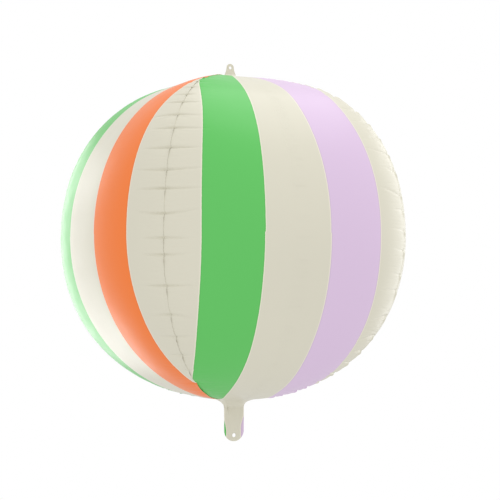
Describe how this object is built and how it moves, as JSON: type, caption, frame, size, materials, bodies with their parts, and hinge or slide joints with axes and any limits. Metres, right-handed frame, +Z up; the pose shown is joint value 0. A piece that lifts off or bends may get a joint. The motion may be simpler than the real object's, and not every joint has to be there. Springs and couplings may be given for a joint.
{
  "type": "foil ball balloon",
  "caption": "Round inflated foil ball with upright beach-ball bands, a crown tab with a hanging hole, and a flat filling tail with a ribbon hole below.",
  "frame": {"origin": "centre of the hanging hole in the crown tab; the ball's own centre is 199.5 mm below it", "axes": "+Z up along the ball's axis, -Y the way the front gore faces, +X towards the right gore"},
  "size_m": [0.367, 0.367, 0.4406],
  "materials": {
    "printed_film": "satin printed metallised film, cream with green, orange and lilac bands",
    "plain_film": "satin metallised film, cream",
    "valve_film": "limp clear film"
  },
  "bodies": {
    "ball": {"front_gore": "printed_film", "back_gore": "printed_film", "left_gore": "printed_film", "right_gore": "printed_film"},
    "hanging_tab": {"tab_front_film": "plain_film", "tab_back_film": "plain_film"},
    "tail": {"tail_front_film": "plain_film", "tail_back_film": "plain_film"},
    "valve_front": {"valve_front_film": "valve_film"},
    "valve_back": {"valve_back_film": "valve_film"}
  },
  "joints": [
    {"name": "tab_fold", "type": "hinge", "parent": "ball", "child": "hanging_tab", "pos_m": [0, 0, -0.0067], "axis": [1, 0, 0], "range_deg": [-90, 90], "stiffness_Nm_per_rad": 0.00002},
    {"name": "tail_fold", "type": "hinge", "parent": "ball", "child": "tail", "pos_m": [0.005, 0, -0.4], "axis": [1, 0, 0], "range_deg": [-90, 90], "stiffness_Nm_per_rad": 0.00005},
    {"name": "valve_front_open", "type": "hinge", "parent": "ball", "child": "valve_front", "pos_m": [0.005, -0.00025, -0.3866], "axis": [1, 0, 0], "range_deg": [0, 8], "stiffness_Nm_per_rad": 0.0002},
    {"name": "valve_back_open", "type": "hinge", "parent": "ball", "child": "valve_back", "pos_m": [0.005, 0.00025, -0.3866], "axis": [1, 0, 0], "range_deg": [-8, 0], "stiffness_Nm_per_rad": 0.0002}
  ],
  "couplings": [
    {"joint": "valve_back_open", "follows": "valve_front_open", "ratio": -1}
  ]
}
